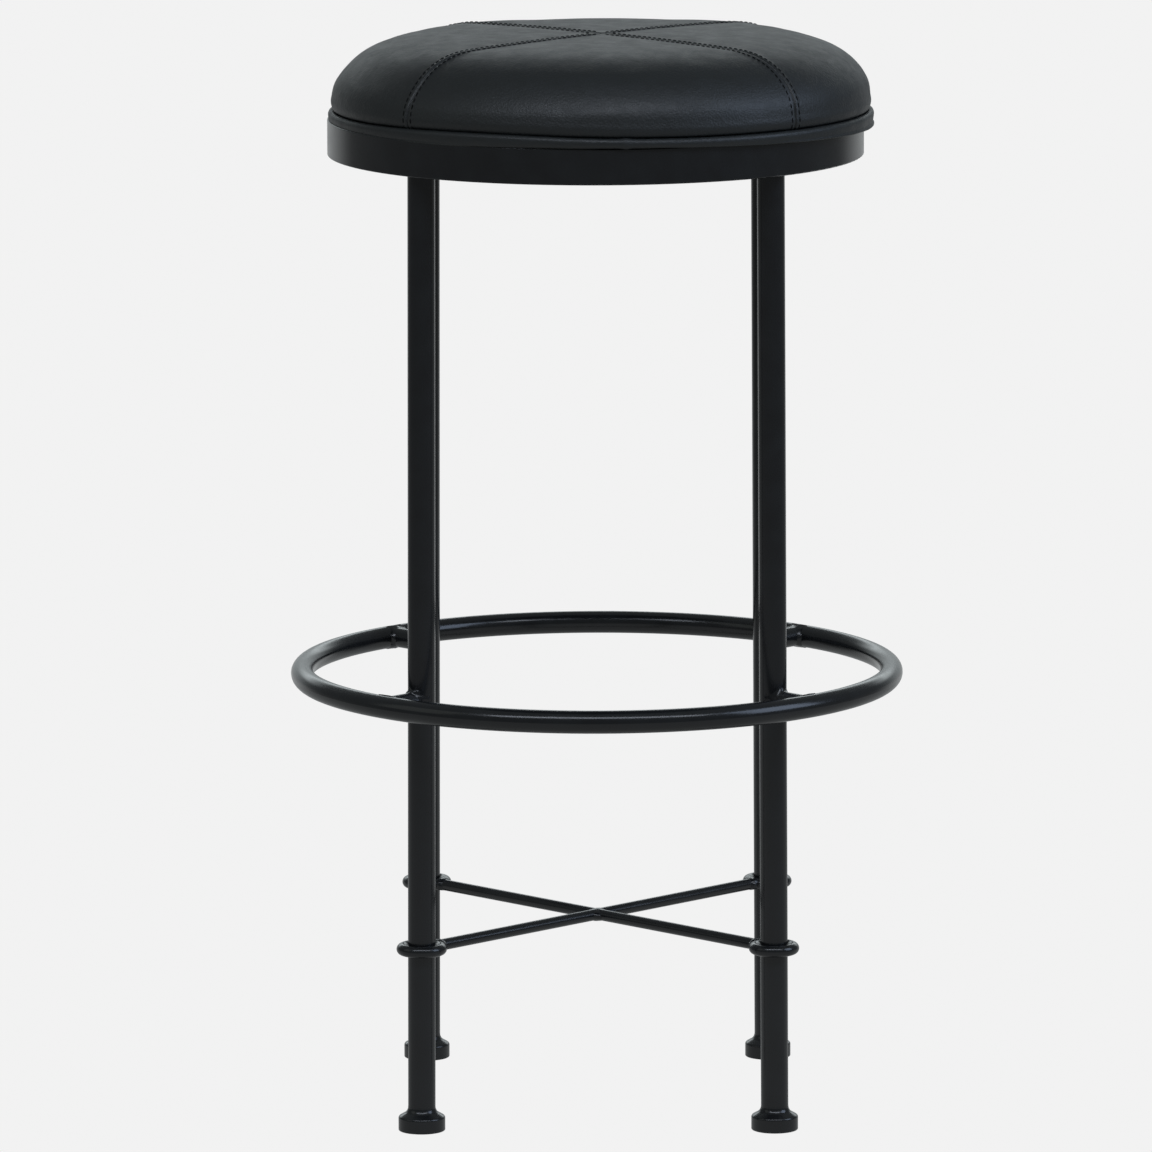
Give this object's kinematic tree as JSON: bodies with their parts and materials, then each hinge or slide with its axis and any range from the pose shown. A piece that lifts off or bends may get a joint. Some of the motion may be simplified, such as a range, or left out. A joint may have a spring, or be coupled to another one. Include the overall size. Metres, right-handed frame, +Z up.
{
  "type": "bar stool",
  "caption": "Round backless bar stool with a domed leather seat on an upright black tube frame, with a round footrest ring and a crossed rod stretcher.",
  "frame": {"origin": "on the floor below the centre of the frame, in the plane of the glides' undersides", "axes": "+Z up along the stool's axis; -Y is the front, where the join of the welt lies; the legs stand on the diagonals of X and Y"},
  "size_m": [0.4305, 0.4306, 0.755],
  "materials": {
    "powder_coated_steel": "satin black powder coat",
    "leather": "smooth black upholstery leather with a soft shine",
    "plywood": "raw birch plywood",
    "foam": "cut polyurethane foam",
    "dust_cloth": "black nonwoven cloth",
    "piping_cord": "twisted paper and cotton cord",
    "nylon": "moulded black nylon",
    "zinc_steel": "bright zinc plate"
  },
  "bodies": {
    "root": {"seat_hoop": "powder_coated_steel", "footrest_ring": "powder_coated_steel", "leg_front_left": "powder_coated_steel", "leg_front_right": "powder_coated_steel", "leg_back_left": "powder_coated_steel", "leg_back_right": "powder_coated_steel", "foot_front_left": "powder_coated_steel", "foot_front_right": "powder_coated_steel", "foot_back_left": "powder_coated_steel", "foot_back_right": "powder_coated_steel", "glide_front_left": "nylon", "glide_front_right": "nylon", "glide_back_left": "nylon", "glide_back_right": "nylon", "footrest_stub_front_left": "powder_coated_steel", "footrest_stub_front_right": "powder_coated_steel", "footrest_stub_back_left": "powder_coated_steel", "footrest_stub_back_right": "powder_coated_steel", "stretcher_collar_front_left": "powder_coated_steel", "stretcher_collar_front_right": "powder_coated_steel", "stretcher_collar_back_left": "powder_coated_steel", "stretcher_collar_back_right": "powder_coated_steel", "stretcher_rod_long": "powder_coated_steel", "stretcher_rod_front": "powder_coated_steel", "stretcher_rod_back": "powder_coated_steel", "seat_tab_front": "powder_coated_steel", "seat_tab_back": "powder_coated_steel", "seat_tab_left": "powder_coated_steel", "seat_tab_right": "powder_coated_steel", "seat_screws": "zinc_steel", "seat_washers": "zinc_steel", "t_nuts": "zinc_steel", "cover_staples": "zinc_steel", "seat_board": "plywood", "seat_foam": "foam", "dust_cover": "dust_cloth", "cover_panel_front": "leather", "cover_panel_back": "leather", "cover_panel_left": "leather", "cover_panel_right": "leather", "welt_cover": "leather", "welt_cord": "piping_cord"}
  },
  "joints": []
}
